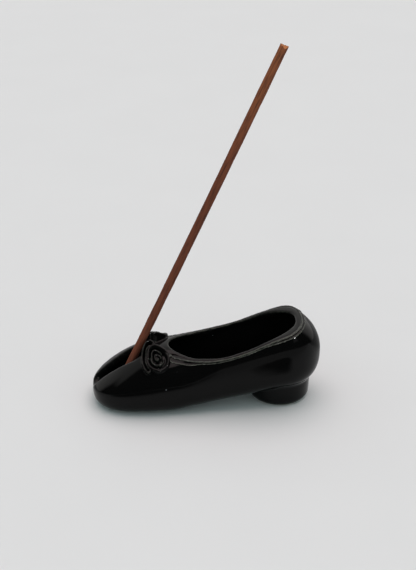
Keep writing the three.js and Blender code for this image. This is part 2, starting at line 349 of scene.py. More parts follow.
def store_thin_glaze(mesh, rounds, gain):
    """Stores at each vertex how far it stands out of its surroundings, in millimetres: glaze is thin there,
    and the sharpest edges are also painted pale as a highlight. Gain makes up for the small relief of a small
    piece."""
    count = len(mesh.vertices)
    place = np.empty(count * 3)
    mesh.vertices.foreach_get("co", place)
    place = place.reshape(-1, 3) / MM
    normal = np.empty(count * 3)
    mesh.vertices.foreach_get("normal", normal)
    normal = normal.reshape(-1, 3)
    ends = np.empty(len(mesh.edges) * 2, int)
    mesh.edges.foreach_get("vertices", ends)
    a, b = ends.reshape(-1, 2).T
    links = np.maximum(np.bincount(a, minlength=count) + np.bincount(b, minlength=count), 1)
    smooth = place.copy()
    for _ in range(rounds):
        for axis in range(3):
            row = smooth[:, axis]
            near = (np.bincount(a, row[b], count) + np.bincount(b, row[a], count)) / links
            smooth[:, axis] = (row + near) / 2
    attribute = mesh.attributes.new("thin", "FLOAT", "POINT")
    attribute.data.foreach_set("value", (gain * (place - smooth) * normal).sum(1).astype(np.float32))


def make_piece(name, points, faces, material, body, replaced):
    """A smooth mesh object from points in millimetres and lists of their numbers, riding on its body."""
    if not faces:
        raise RuntimeError(f"{name} has no faces")
    mesh = bpy.data.meshes.new(name)
    mesh.from_pydata((points * MM).tolist(), [], faces)
    mesh.validate()
    mesh.polygons.foreach_set("use_smooth", [True] * len(mesh.polygons))
    mesh.materials.append(material)
    mesh.update()
    piece = bpy.data.objects.new(name, mesh)
    bpy.context.scene.collection.objects.link(piece)
    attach(piece, body)
    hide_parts(replaced)
    return piece


def clay_piece(name, block, field, material, replaced, reach=1.2, gain=0.7):
    """A piece of clay from a field on a block. Reach is how far from an edge the glaze still runs thin."""
    points, quads = block.skin(field)
    piece = make_piece(name, points, quads.tolist(), material, "burner", replaced)
    store_thin_glaze(piece.data, round(2 * (reach / block.step) ** 2), gain)
    return piece


# ---- Materials


def add(tree, kind, inputs=None, **settings):
    """Adds a node. Settings are its own properties; inputs are values, or the sockets that feed them."""
    made = tree.nodes.new(kind)
    for name, value in settings.items():
        setattr(made, name, value)
    for name, value in (inputs or {}).items():
        if isinstance(value, bpy.types.NodeSocket):
            tree.links.new(value, made.inputs[name])
        else:
            made.inputs[name].default_value = value
    return made


def per_metre(millimetres):
    """The texture scale whose features are about this far apart."""
    return 1 / (millimetres * MM)


def solid(value):
    """A colour with full alpha."""
    return (*value, 1)


def new_material(name):
    """A material with an empty tree, and the place on the piece in metres, which its patterns follow."""
    material = bpy.data.materials.new(name)
    material.use_nodes = True
    tree = material.node_tree
    tree.nodes.clear()
    return material, tree, add(tree, "ShaderNodeTexCoord").outputs["Object"]


@functools.cache
def gloss_black_glaze():
    """Fired gloss glaze over stoneware: like wet black ink. It mirrors the room softly, thins to a warm
    grey-brown over every edge, with a painted highlight in pale grey on the sharpest edges where it is
    thinnest, and holds a few pale pinholes."""
    colours = bpy.context.scene.burner_colours
    material, tree, place = new_material("gloss_black_glaze")
    edge = add(tree, "ShaderNodeAttribute", attribute_name="thin").outputs["Fac"]
    patches = add(tree, "ShaderNodeTexNoise", {"Vector": place, "Scale": per_metre(1.6), "Detail": 3})
    wander = add(tree, "ShaderNodeMath", {0: patches.outputs["Fac"], 1: 0.14}, operation="MULTIPLY")
    raised = add(tree, "ShaderNodeMath", {0: edge, 1: wander.outputs[0]}, operation="ADD")
    thin = add(
        tree, "ShaderNodeMapRange",
        {"Value": raised.outputs[0], "From Min": 0.17, "From Max": 0.38},
        interpolation_type="SMOOTHSTEP",
    ).outputs["Result"]
    # The sharpest edges: thinnest glaze, with a painted highlight on top of it.
    thinnest_and_highlight = add(
        tree, "ShaderNodeMapRange",
        {"Value": raised.outputs[0], "From Min": 0.45, "From Max": 0.85},
        interpolation_type="SMOOTHSTEP",
    ).outputs["Result"]
    cells = add(tree, "ShaderNodeTexVoronoi", {"Vector": place, "Scale": per_metre(5)})
    chosen = add(tree, "ShaderNodeSeparateColor", {"Color": cells.outputs["Color"]}).outputs["Red"]
    rare = add(tree, "ShaderNodeMath", {0: chosen, 1: 0.8}, operation="GREATER_THAN")
    small = add(
        tree, "ShaderNodeMapRange",
        {"Value": cells.outputs["Distance"], "From Min": 0.03, "From Max": 0.06,
         "To Min": 1, "To Max": 0},
        interpolation_type="SMOOTHSTEP",
    ).outputs["Result"]
    speck = add(tree, "ShaderNodeMath", {0: small, 1: rare.outputs[0]}, operation="MULTIPLY").outputs[0]
    above_table = add(tree, "ShaderNodeSeparateXYZ", {"Vector": place}).outputs["Z"]
    wiped = add(
        tree, "ShaderNodeMapRange",
        {"Value": above_table, "From Min": 0.45 * MM, "From Max": 0.6 * MM, "To Min": 1, "To Max": 0},
        interpolation_type="SMOOTHSTEP",
    ).outputs["Result"]
    tint = add(
        tree, "ShaderNodeMix",
        {0: thin, 6: solid(colours.glaze), 7: solid(colours.glaze_break)},
        data_type="RGBA",
    ).outputs[2]
    tint = add(
        tree, "ShaderNodeMix",
        {0: thinnest_and_highlight, 6: tint, 7: solid(colours.edge_glaze_and_highlight)},
        data_type="RGBA",
    ).outputs[2]
    tint = add(
        tree, "ShaderNodeMix",
        {0: speck, 6: tint, 7: solid(colours.speck)},
        data_type="RGBA",
    ).outputs[2]
    tint = add(
        tree, "ShaderNodeMix",
        {0: wiped, 6: tint, 7: solid(colours.bare_clay)},
        data_type="RGBA",
    ).outputs[2]
    haze = add(tree, "ShaderNodeTexNoise", {"Vector": place, "Scale": per_metre(9), "Detail": 4})
    rough = add(
        tree, "ShaderNodeMapRange",
        {"Value": haze.outputs["Fac"], "From Min": 0.3, "From Max": 0.7, "To Min": 0.04, "To Max": 0.09},
        interpolation_type="SMOOTHSTEP",
    ).outputs["Result"]
    swell = add(tree, "ShaderNodeTexNoise", {"Vector": place, "Scale": per_metre(7), "Detail": 1})
    ripple = add(tree, "ShaderNodeTexNoise", {"Vector": place, "Scale": per_metre(1.1), "Detail": 2})
    crawl = add(tree, "ShaderNodeMath", {0: ripple.outputs["Fac"], 1: thin}, operation="MULTIPLY")
    broad = add(
        tree, "ShaderNodeBump", {"Strength": 0.5, "Distance": 0.12 * MM, "Height": swell.outputs["Fac"]}
    )
    fine = add(
        tree, "ShaderNodeBump",
        {"Strength": 0.6, "Distance": 0.25 * MM, "Height": crawl.outputs[0],
         "Normal": broad.outputs["Normal"]},
    )
    shader = add(
        tree, "ShaderNodeBsdfPrincipled",
        {"Base Color": tint, "Roughness": rough, "IOR": 1.5, "Specular IOR Level": 0.12,
         "Normal": fine.outputs["Normal"]},
    )
    add(tree, "ShaderNodeOutputMaterial", {"Surface": shader.outputs["BSDF"]})
    return material


@functools.cache
def wiped_stoneware():
    """Bare fired stoneware, wiped clean of glaze so that it can't stick in the kiln: dry, pale, sandy."""
    colours = bpy.context.scene.burner_colours
    material, tree, place = new_material("wiped_stoneware")
    sand = add(tree, "ShaderNodeTexNoise", {"Vector": place, "Scale": per_metre(0.4), "Detail": 4})
    stain = add(tree, "ShaderNodeTexNoise", {"Vector": place, "Scale": per_metre(8), "Detail": 3})
    dark = [0.55 * c for c in colours.bare_clay]
    stained = add(
        tree, "ShaderNodeMapRange",
        {"Value": stain.outputs["Fac"], "From Min": 0.35, "From Max": 0.7},
        interpolation_type="SMOOTHSTEP",
    ).outputs["Result"]
    tint = add(
        tree, "ShaderNodeMix",
        {0: stained, 6: solid(colours.bare_clay), 7: solid(dark)},
        data_type="RGBA",
    ).outputs[2]
    bump = add(
        tree, "ShaderNodeBump", {"Strength": 0.6, "Distance": 0.1 * MM, "Height": sand.outputs["Fac"]}
    )
    shader = add(
        tree, "ShaderNodeBsdfPrincipled",
        {"Base Color": tint, "Roughness": 0.85, "IOR": 1.5, "Normal": bump.outputs["Normal"]},
    )
    add(tree, "ShaderNodeOutputMaterial", {"Surface": shader.outputs["BSDF"]})
    return material


@functools.cache
def rolled_incense_paste():
    """Rolled and dried incense paste: matt red-brown wood powder with a faint long grain from rolling, dark
    flecks, and a lighter orange-brown core where it has been broken off."""
    colours = bpy.context.scene.burner_colours
    material, tree, place = new_material("rolled_incense_paste")
    _, axis, _, _ = incense_line()
    lean = math.atan2(axis[0], axis[2])
    upright = add(tree, "ShaderNodeVectorRotate", {"Vector": place, "Angle": -lean}, rotation_type="Y_AXIS")
    stretched = add(
        tree, "ShaderNodeVectorMath", {0: upright.outputs["Vector"], 1: (1, 1, 0.08)}, operation="MULTIPLY"
    ).outputs["Vector"]
    grain = add(tree, "ShaderNodeTexNoise", {"Vector": stretched, "Scale": per_metre(0.7), "Detail": 5})
    powder = add(tree, "ShaderNodeTexNoise", {"Vector": place, "Scale": per_metre(0.5), "Detail": 3})
    flecks = add(tree, "ShaderNodeTexVoronoi", {"Vector": place, "Scale": per_metre(2.4)})
    chosen = add(tree, "ShaderNodeSeparateColor", {"Color": flecks.outputs["Color"]}).outputs["Green"]
    rare = add(tree, "ShaderNodeMath", {0: chosen, 1: 0.7}, operation="GREATER_THAN")
    small = add(
        tree, "ShaderNodeMapRange",
        {"Value": flecks.outputs["Distance"], "From Min": 0.12, "From Max": 0.2,
         "To Min": 1, "To Max": 0},
        interpolation_type="SMOOTHSTEP",
    ).outputs["Result"]
    fleck = add(tree, "ShaderNodeMath", {0: small, 1: rare.outputs[0]}, operation="MULTIPLY").outputs[0]
    fresh = add(tree, "ShaderNodeAttribute", attribute_name="broken").outputs["Fac"]
    long_grain = add(
        tree, "ShaderNodeMapRange",
        {"Value": grain.outputs["Fac"], "From Min": 0.4, "From Max": 0.75},
        interpolation_type="SMOOTHSTEP",
    ).outputs["Result"]
    height = add(tree, "ShaderNodeSeparateXYZ", {"Vector": place}).outputs["Z"]
    # The paste is mixed paler towards the top, by height alone.
    upper_share = add(
        tree, "ShaderNodeMapRange",
        {"Value": height, "From Min": 90 * MM, "From Max": 230 * MM},
        interpolation_type="SMOOTHSTEP",
    ).outputs["Result"]
    tint = add(
        tree, "ShaderNodeMix",
        {0: upper_share, 6: solid(colours.paste), 7: solid(colours.paste_upper)},
        data_type="RGBA",
    ).outputs[2]
    tint = add(
        tree, "ShaderNodeMix",
        {0: long_grain, 6: tint, 7: solid(colours.paste_grain)},
        data_type="RGBA",
    ).outputs[2]
    tint = add(
        tree, "ShaderNodeMix",
        {0: fleck, 6: tint, 7: solid(colours.paste_grain)},
        data_type="RGBA",
    ).outputs[2]
    tint = add(
        tree, "ShaderNodeMix",
        {0: fresh, 6: tint, 7: solid(colours.paste_core)},
        data_type="RGBA",
    ).outputs[2]
    rough_skin = add(
        tree, "ShaderNodeBump", {"Strength": 0.5, "Distance": 0.12 * MM, "Height": powder.outputs["Fac"]}
    )
    combed = add(
        tree, "ShaderNodeBump",
        {"Strength": 0.4, "Distance": 0.12 * MM, "Height": grain.outputs["Fac"],
         "Normal": rough_skin.outputs["Normal"]},
    )
    shader = add(
        tree, "ShaderNodeBsdfPrincipled",
        {"Base Color": tint, "Roughness": 0.8, "IOR": 1.45, "Specular IOR Level": 0.35,
         "Normal": combed.outputs["Normal"]},
    )
    add(tree, "ShaderNodeOutputMaterial", {"Surface": shader.outputs["BSDF"]})
    return material


# Black flags on the floor, in metres. Bands across it begin at one Y and are this black from the next one on.
FLAG_BANDS = ((-0.05, -0.1, 0.35), (-0.18, -0.26, 1), (0, 0.05, 0.6))
# Round ones have a middle, a radius and a soft edge.
FLAG_ROUNDS = (((-0.075, -0.13, 0), 0.07, 0.03), ((0.045, -0.075, 0), 0.01, 0.016))


def pale_laminate():
    """A matt white worktop: pale and even. Black flags lie on it out of sight, and only the glaze mirrors
    them."""
    stage = bpy.context.scene.burner_stage
    material, tree, place = new_material("pale_laminate")
    cloud = add(tree, "ShaderNodeTexNoise", {"Vector": place, "Scale": per_metre(60), "Detail": 2})
    dim = [0.97 * c for c in stage.floor]
    tint = add(
        tree, "ShaderNodeMix",
        {0: cloud.outputs["Fac"], 6: solid(stage.floor), 7: solid(dim)},
        data_type="RGBA",
    ).outputs[2]
    forward = add(tree, "ShaderNodeSeparateXYZ", {"Vector": place}).outputs["Y"]
    shades = [(forward, begin, full, 0, black) for begin, full, black in FLAG_BANDS]
    for middle, radius, soft in FLAG_ROUNDS:
        away = add(tree, "ShaderNodeVectorMath", {0: place, 1: middle}, operation="DISTANCE")
        shades.append((away.outputs["Value"], radius, radius + soft, 1, 0))
    flags = 0.0
    for value, start, end, low, high in shades:
        shade = add(
            tree, "ShaderNodeMapRange",
            {"Value": value, "From Min": start, "From Max": end, "To Min": low, "To Max": high},
            interpolation_type="SMOOTHSTEP",
        ).outputs["Result"]
        flags = add(tree, "ShaderNodeMath", {0: flags, 1: shade}, operation="MAXIMUM").outputs[0]
    mirrored = add(tree, "ShaderNodeLightPath").outputs["Is Glossy Ray"]
    flags = add(tree, "ShaderNodeMath", {0: flags, 1: mirrored}, operation="MULTIPLY").outputs[0]
    tint = add(tree, "ShaderNodeMix", {0: flags, 6: tint, 7: solid(stage.room)}, data_type="RGBA").outputs[2]
    shader = add(
        tree, "ShaderNodeBsdfPrincipled",
        {"Base Color": tint, "Roughness": 0.7, "IOR": 1.45, "Specular IOR Level": 0.2},
    )
    add(tree, "ShaderNodeOutputMaterial", {"Surface": shader.outputs["BSDF"]})
    return material


# ---- The clay


def toe_slot(block):
    """The slot that runs from the toe back to its round end: everything over its sill."""
    half_width = TOE_SLOT["half_width"]
    turn = TOE_SLOT["back"] - half_width
    narrowing = (half_width - TOE_SLOT["tip_half_width"]) / (turn + HALF)
    side = np.abs(block.y) - half_width + narrowing * np.maximum(turn - block.x, 0)
    outline = np.where(block.x > turn, np.hypot(block.x - turn, block.y) - half_width, side)
    return both(outline, TOE_SLOT["sill"] - block.z, half_width / 2)


def foot_hole(block):
    """The foot opening: everything over an oval that is round in front and fuller at the back."""
    power = FOOT_HOLE["power"] + FOOT_HOLE["fuller"] * smoothstep(block.x, *FOOT_HOLE["turn"])
    along = np.abs(block.x - FOOT_HOLE["middle"]) / FOOT_HOLE["half_length"]
    across = np.abs(block.y) / FOOT_HOLE["half_width"]
    size = np.maximum(along**power + across**power, TINY) ** (1 / power)
    slope_x, slope_y, _ = np.gradient(size, block.step)
    least_slope = 0.5 / FOOT_HOLE["half_length"]
    outline = (size - 1) / np.maximum(np.hypot(slope_x, slope_y), least_slope)
    return np.maximum(outline, FOOT_HOLE["from"] - block.z)


@functools.cache
def slipper():
    """The block that the shell is worked out on, the slipper's outside, and the opened shell."""
    sizes = bpy.context.scene.burner_sizes
    grain = sizes.shell_grain / MM
    low, high = millimetre_box("upper", "outsole")
    margin = 3 * grain
    past_wall = 2  # the field stays exact this far inside the wall
    block = Block(low - margin, high + margin, grain)
    wall, rim_wall = sizes.wall / MM, sizes.rim_wall / MM
    outside = block.distance_from(*last_skin(), reach=wall + past_wall)
    outside = outside + SKIN["dip"] * (1 + lumps(block.place, SKIN["across"], seed=1))
    below_rim = TOPLINE(block.x) - block.z
    rim_wall = rim_wall + (wall - rim_wall) * smoothstep(block.x, *RIM["thickens"])
    thickness = rim_wall + (wall - rim_wall) * smoothstep(below_rim, 0, RIM["depth"])
    hollow = either(outside + thickness, foot_hole(block), INNER_FILLET)
    shell = both(outside, -hollow, sizes.rim / MM)
    shell = both(shell, -toe_slot(block), sizes.slot_edge / MM)
    over = RIM["uneven"] * lumps(block.place, RIM["across"], seed=2) - below_rim
    shell = both(shell, over, sizes.rim / MM)
    shell = both(shell, sizes.foot_line / MM - block.z, GLAZE_LIP)
    return block, outside, shell


class BURNER_OT_shell(bpy.types.Operator):
    """Makes the slipper's hollow shell, open at the foot and slotted at the toe"""

    bl_idname = "burner.shell"
    bl_label = "Slipper Shell"

    def execute(self, context):
        block, _, shell = slipper()
        clay_piece("slipper_shell", block, shell, gloss_black_glaze(), "upper")
        return {"FINISHED"}


class BURNER_OT_foot(bpy.types.Operator):
    """Makes the bare foot that the sole stands on, a little inside the glaze"""

    bl_idname = "burner.foot"
    bl_label = "Bare Foot"

    def execute(self, context):
        block, outside, _ = slipper()
        top = context.scene.burner_sizes.foot_line / MM
        foot = both(outside + FOOT["inset"], block.z - top, FOOT["top_edge"])
        foot = both(foot, -block.z, FOOT["edge"])
        clay_piece("bare_foot", block, foot, wiped_stoneware(), "outsole")
        return {"FINISHED"}


class BURNER_OT_heel(bpy.types.Operator):
    """Makes the low round heel"""

    bl_idname = "burner.heel"
    bl_label = "Heel"

    def execute(self, context):
        low, high = millimetre_box("heel_block")
        middle = (low[0] + high[0]) / 2
        radius = (high[1] - low[1]) / 2
        block = Block(low - 2, high + 2, context.scene.burner_sizes.binding_grain / MM)
        whole, outside, _ = slipper()
        body = whole.sample(outside, block)
        tapered = radius - HEEL["taper"] * (1 - block.z / high[2])
        uneven = HEEL["uneven"] * lumps(block.place, HEEL["across"], seed=3)
        side = np.hypot(block.x - middle, block.y) - tapered + uneven
        heel = both(side, -block.z, HEEL["edge"])
        heel = np.maximum(heel, block.z - high[2])
        heel = fused(heel, body, HEEL["fillet"], HEEL["root"])
        clay_piece("heel", block, heel, gloss_black_glaze(), "heel_block")
        return {"FINISHED"}


class BURNER_OT_binding(bpy.types.Operator):
    """Makes the collar binding: a strip with a bead along each edge, round the outside of the rim"""

    bl_idname = "burner.binding"
    bl_label = "Collar Binding"

    def execute(self, context):
        low, high = millimetre_box("collar_binding")
        block = Block(low - 2.5, high + 2, context.scene.burner_sizes.binding_grain / MM)
        whole, outside, shell = slipper()
        body = whole.sample(outside, block)
        clay = whole.sample(shell, block)
        along = np.maximum(BINDING_START - block.x, 0)
        height = block.z - TOPLINE(block.x) + BINDING_DROP(block.x)
        slope = np.stack(np.gradient(height, block.step), -1)
        rise = (slope * np.stack(np.gradient(body, block.step), -1)).sum(-1)
        steepness = np.sqrt(np.maximum((slope**2).sum(-1) - rise**2, LEAST_STEEP))
        from_line = np.hypot(along, height / steepness)
        bead = BEAD["radius"]
        for depth, across, seed in BEAD_UNEVEN:
            bead = bead + depth * lumps(block.place, across, seed)
        gap = BINDING_GAP(block.x)
        rolls = np.hypot(from_line - gap, body - BEAD["out"]) - bead
        strip = np.maximum(from_line - gap, np.abs(body + STRIP["under"]) - STRIP["half_thickness"])
        binding = fused(either(rolls, strip, STRIP["join"]), clay, BEAD["fillet"], BEAD["root"])
        name = "collar_binding_strip"
        # The high gain paints the beads pale: thin glaze and painted highlight.
        clay_piece(name, block, binding, gloss_black_glaze(), "collar_binding", reach=0.8, gain=2.4)
        return {"FINISHED"}


# ---- The roses

ROSE = {"x": -24.8, "y": 10.5, "z": 25.8, "tilt": 34, "squash": 0.84}
ROSE_LIFT = {-1: 0, 1: 0.9}  # the rose on the far side stands a little prouder
TEARDROP = {"point": 0.42, "angle": 243, "spread": 32}
ROSE_ROOT = 1.6  # how far a petal reaches into the clay
ROLL_FILLET = {"bud": 0.4, "petal": 0.5}
BUD = {
    "radius": 1.5, "height": 4.6, "turns": 0.95, "laps": 2, "start": 0.35, "pitch": 1.7, "thick": 1.1,
    "core_height": 2.4, "fall": 0.5,  # the ribbon's lip falls this far in each turn
}
PETAL = {"lip_ends": 0.85, "lip_swell": 0.15, "lip_waves": 7, "side_waves": 5, "sway": (0.1, 0.25)}
PETAL_THICKNESS = {"foot": 1.05, "thins": 0.2}  # times half its thickness, and how it thins to the lip
INNER_PETALS = {
    "begin": 40, "sweep": 146, "shift": 0, "from": 3, "to": 3.5, "flare": 0.2, "thick": 1.2,
    "heights": ((4.2, 4.4), (4.4, 3.8), (0.6, 4.2)),
}
OUTER_PETALS = {
    "begin": 68, "sweep": 146, "shift": 0.4, "from": 5.5, "to": 5.9, "flare": 0.5, "thick": 2.1,
    "heights": ((3.4, 3.6), (3.6, 3.4), (3.4, 3.6)),
}
FRILL = {
    "begin": 134, "sweep": 112, "radius": 7.9, "top_radius": 7.2, "draws_in": (0.4, 1), "height": 3,
    "gap": 1.05, "loop": 0.4, "opens": (0.75, 1), "lip_wave": 0.3, "lip_waves": 9,
}


class RoseSpace:
    """The space round a rose, which is squashed along X and drawn out to a point at its upper end, like a
    teardrop: radius, angle in degrees, and height."""

    def __init__(self, side, node, grain, shift=0):
        self.node = node
        low, high = millimetre_box(node)
        self.block = Block(low - 3, high + 3, grain)
        whole, outside, _ = slipper()
        self.clay = whole.sample(outside, self.block)
        tilt = math.radians(-side * ROSE["tilt"])
        x = (self.block.x - ROSE["x"]) / ROSE["squash"] - shift
        dy = self.block.y - side * ROSE["y"]
        dz = self.block.z - ROSE["z"]
        y = math.cos(tilt) * dy + math.sin(tilt) * dz
        self.height = math.cos(tilt) * dz - math.sin(tilt) * dy - ROSE_LIFT[side]
        self.angle = np.degrees(side * np.arctan2(y, x)) % 360
        from_point = (self.angle - TEARDROP["angle"]) / TEARDROP["spread"]
        self.stretch = 1 + TEARDROP["point"] * np.exp(-(from_point**2))
        self.radius = np.hypot(x, y) / self.stretch

    def along(self, begin, sweep):
        """How far round an arc each point is, 0 to 1, and how far outside it, in millimetres."""
        spare = (360 - sweep) / 2
        turned = (self.angle - begin + spare) % 360 - spare
        beyond = np.maximum(np.maximum(-turned, turned - sweep), 0)
        return np.clip(turned / sweep, 0, 1), np.minimum(np.radians(beyond), 1.5) * self.radius

    def from_ring(self, radius):
        """How far outside a ring of this radius each point is, in millimetres."""
        return (self.radius - radius) * self.stretch

    def piece(self, field, fillet):
        shrunk = (1 + ROSE["squash"]) / 2  # a squashed millimetre is shorter than a real one
        field = fused(field * shrunk, self.clay, fillet, ROSE_ROOT)
        name, glaze = f"{self.node}_glazed", gloss_black_glaze()
        clay_piece(name, self.block, field, glaze, self.node, reach=0.8, gain=0.8)


def petal(space, ring, index, thickness, rng):
    """One petal: a strip of clay that wraps part of the way round, leans out and has a soft rolled lip."""
    t, beyond = space.along(ring["begin"] + 360 / len(ring["heights"]) * index, ring["sweep"])
    phase, sway = rng.uniform(0, 2 * math.pi), rng.uniform(*PETAL["sway"])
    start, end = ring["heights"][index]
    height = start + (end - start) * t
    lip = height * (PETAL["lip_ends"] + PETAL["lip_swell"] * np.sin(np.pi * t))
    lip = lip + sway * np.sin(PETAL["lip_waves"] * t + phase)
    rolled = np.clip(space.height / height, 0, 1.2)
    wave = sway * rolled * np.sin(PETAL["side_waves"] * t + 2 * phase)
    middle = ring["from"] + (ring["to"] - ring["from"]) * t + ring["flare"] * rolled**2 + wave
    half = thickness * ring["thick"] / 2 * (PETAL_THICKNESS["foot"] - PETAL_THICKNESS["thins"] * rolled)
    over = np.maximum(space.height - lip + half, 0)
    return np.sqrt(space.from_ring(middle) ** 2 + over**2 + beyond**2) - half


def bud(space, thickness):
    """The heart of a rose: a ribbon of clay rolled up on itself."""
    half = thickness * BUD["thick"] / 2
    field = np.hypot(space.radius, np.maximum(space.height - BUD["core_height"], 0)) - BUD["radius"]
    for lap in range(BUD["laps"]):
        turns = space.angle / 360 + lap
        beyond = np.clip(turns - BUD["turns"], 0, 1) * 2 * math.pi * space.radius
        middle = BUD["start"] + BUD["pitch"] * turns
        over = np.maximum(space.height - BUD["height"] + BUD["fall"] * turns + half, 0)
        ribbon = np.sqrt(space.from_ring(middle) ** 2 + over**2 + beyond**2) - half
        field = np.minimum(field, ribbon)
    return field


def frill(space, thickness):
    """A folded ribbon beside the rose, with a slot down its middle and a loop at its upper end."""
    half = thickness / 2
    t, beyond = space.along(FRILL["begin"], FRILL["sweep"])
    radius = FRILL["radius"] + (FRILL["top_radius"] - FRILL["radius"]) * smoothstep(t, *FRILL["draws_in"])
    from_middle = np.hypot(beyond, space.from_ring(radius))
    gap = FRILL["gap"] + FRILL["loop"] * smoothstep(t, *FRILL["opens"])
    wave = FRILL["lip_wave"] * np.sin(FRILL["lip_waves"] * t)
    over = np.maximum(space.height - FRILL["height"] - wave + half, 0)
    return np.hypot(from_middle - gap, over) - half


class BURNER_OT_roses(bpy.types.Operator):
    """Makes the two roses on the vamp: for each a bud, two rings of petals and a frill"""

    bl_idname = "burner.roses"
    bl_label = "Roses"

    def execute(self, context):
        sizes = context.scene.burner_sizes
        grain, thickness = sizes.rose_grain / MM, sizes.petal / MM
        rings = {"inner_petal": INNER_PETALS, "outer_petal": OUTER_PETALS}
        for word, side in SIDES.items():
            rng = np.random.default_rng(20 + side)
            space = RoseSpace(side, f"rose_{word}_bud", grain)
            space.piece(bud(space, thickness), ROLL_FILLET["bud"])
            for name, ring in rings.items():
                for index in range(len(ring["heights"])):
                    space = RoseSpace(side, f"rose_{word}_{name}_{index + 1}", grain, ring["shift"])
                    space.piece(petal(space, ring, index, thickness, rng), ROLL_FILLET["petal"])
            space = RoseSpace(side, f"rose_{word}_frill_1", grain)
            space.piece(frill(space, thickness), ROLL_FILLET["petal"])
        return {"FINISHED"}


# ---- The socket and the incense

SOCKET = {"uneven": 0.2, "across": 4, "top_edge": 1.4, "mouth_edge": 0.6, "play": 0.4, "under_stick": 0.3}
STICK = {"around": 40, "stations": 195, "foot_edge": 0.3, "bow": 0.25, "torn_length": 3}
STICK_FOOT = (0.3, 0.7, 0.93)  # its rounded foot, as shares of its radius
STICK_TOP = {"rings": 6, "from": 0.93, "to": 0.2}  # the broken end closes in over these rings
STICK_UNEVEN = ((0.03, 9, 7), (0.02, 1.5, 8))  # depth, width and seed of its lumps, as shares of its radius
STICK_SQUARE = {"depth": 0.035, "turn": 0.6}  # rolling leaves it a little square
# How high the torn fibres stand, in shares of the radius: a ridge off the middle, a slant and some lumps.
TORN = {"ridge": 0.75, "off": 0.1, "slant": 0.3, "uneven": 0.35, "across": 0.4, "highest": 1.3}


def incense_line():
    """The stick's foot, its axis, its radius and its length, in millimetres."""
    low, high = millimetre_box("incense_stick")
    axis = np.array(frame["joints"][0]["axis"], float)
    axis /= np.linalg.norm(axis)
    radius = (high[1] - low[1]) / 2
    span = (high[2] - low[2] - 2 * radius * axis[0]) / axis[2]
    return (low + high) / 2 - axis * span / 2, axis, radius, span


class BURNER_OT_socket(bpy.types.Operator):
    """Makes the socket in the toe that holds the incense upright"""

    bl_idname = "burner.socket"
    bl_label = "Stick Socket"

    def execute(self, context):
        low, high = millimetre_box("stick_socket")
        block = Block(low - 1.5, high + 1.5, context.scene.burner_sizes.binding_grain / MM)
        middle, radius = (low + high) / 2, (high[1] - low[1]) / 2
        uneven = SOCKET["uneven"] * lumps(block.place, SOCKET["across"], seed=6)
        boss = np.hypot(block.x - middle[0], block.y - middle[1]) - radius + uneven
        boss = both(boss, block.z - high[2], SOCKET["top_edge"])
        boss = np.maximum(boss, low[2] - block.z)
        foot, axis, stick_radius, _ = incense_line()
        offset = block.place - foot
        reach = offset @ axis
        from_axis = np.sqrt(np.maximum((offset**2).sum(-1) - reach**2, 0))
        bore = np.maximum(from_axis - stick_radius - SOCKET["play"], -reach - SOCKET["under_stick"])
        socket = both(boss, -bore, SOCKET["mouth_edge"])
        clay_piece("stick_socket_glazed", block, socket, gloss_black_glaze(), "stick_socket")
        return {"FINISHED"}


def stick_ring(foot, axis, radius, reach, size, bow):
    """A ring of points round the stick, not quite round and not quite smooth, pushed sideways by bow."""
    around = STICK["around"]
    angle = 2 * np.pi * np.arange(around) / around
    across = np.array([axis[2], 0, -axis[0]])
    place = np.stack([np.cos(angle) * radius, np.sin(angle) * radius, np.full(around, reach)], -1)
    uneven = sum(depth * lumps(place, width, seed) for depth, width, seed in STICK_UNEVEN)
    square = 1 - STICK_SQUARE["depth"] * (1 - np.cos(4 * angle + STICK_SQUARE["turn"]))
    r = (radius * size * (square + uneven))[:, None]
    outward = np.cos(angle)[:, None] * across + np.sin(angle)[:, None] * np.array([0, 1, 0])
    return foot + across * bow + r * outward + reach * axis


class BURNER_OT_incense(bpy.types.Operator):
    """Makes the stick of incense: hand-rolled, very slightly bowed, and broken off at its top"""

    bl_idname = "burner.incense"
    bl_label = "Incense Stick"

    def execute(self, context):
        foot, axis, radius, span = incense_line()
        stations, closing_in = STICK["stations"], STICK_TOP["rings"]
        reach = [*[0] * len(STICK_FOOT), *np.linspace(STICK["foot_edge"], span, stations)]
        reach += [span] * closing_in
        size = [*STICK_FOOT, *[1] * stations]
        size += [*np.linspace(STICK_TOP["from"], STICK_TOP["to"], closing_in)]
        rings = []
        for r, s in zip(reach, size):
            bow = STICK["bow"] * math.sin(math.pi * r / span)
            rings.append(stick_ring(foot, axis, radius, r, s, bow))
        around = len(rings[0])
        points = np.vstack(rings)
        offset = points - foot
        u = offset @ np.array([axis[2], 0, -axis[0]]) / radius
        v = offset[:, 1] / radius
        uneven = TORN["uneven"] * lumps(np.stack([u, v, 0 * u], -1), TORN["across"], seed=9)
        jagged = TORN["ridge"] * np.abs(u - TORN["off"]) + TORN["slant"] * v + uneven
        torn = smoothstep(offset @ axis, span - STICK["torn_length"], span)
        points += (torn * np.minimum(jagged - TORN["highest"], 0))[:, None] * axis
        points = np.vstack([points, foot, points[-around:].mean(0)])
        first, final, top = len(points) - 2, len(points) - 1, (len(rings) - 1) * around
        faces = []
        for j in range(around):
            k = (j + 1) % around
            faces.append([first, k, j])
            faces.append([final, top + j, top + k])
            for i in range(0, top, around):
                faces.append([i + j, i + k, i + around + k, i + around + j])
        name = "rolled_incense_stick"
        piece = make_piece(name, points, faces, rolled_incense_paste(), "incense", "incense_stick")
        broken = piece.data.attributes.new("broken", "FLOAT", "POINT")
        first_inside = len(STICK_FOOT) + stations + 1
        inside = np.append(np.repeat(np.arange(len(rings)) >= first_inside, around), [False, True])
        broken.data.foreach_set("value", inside.astype(np.float32))
        return {"FINISHED"}


# ---- The stage


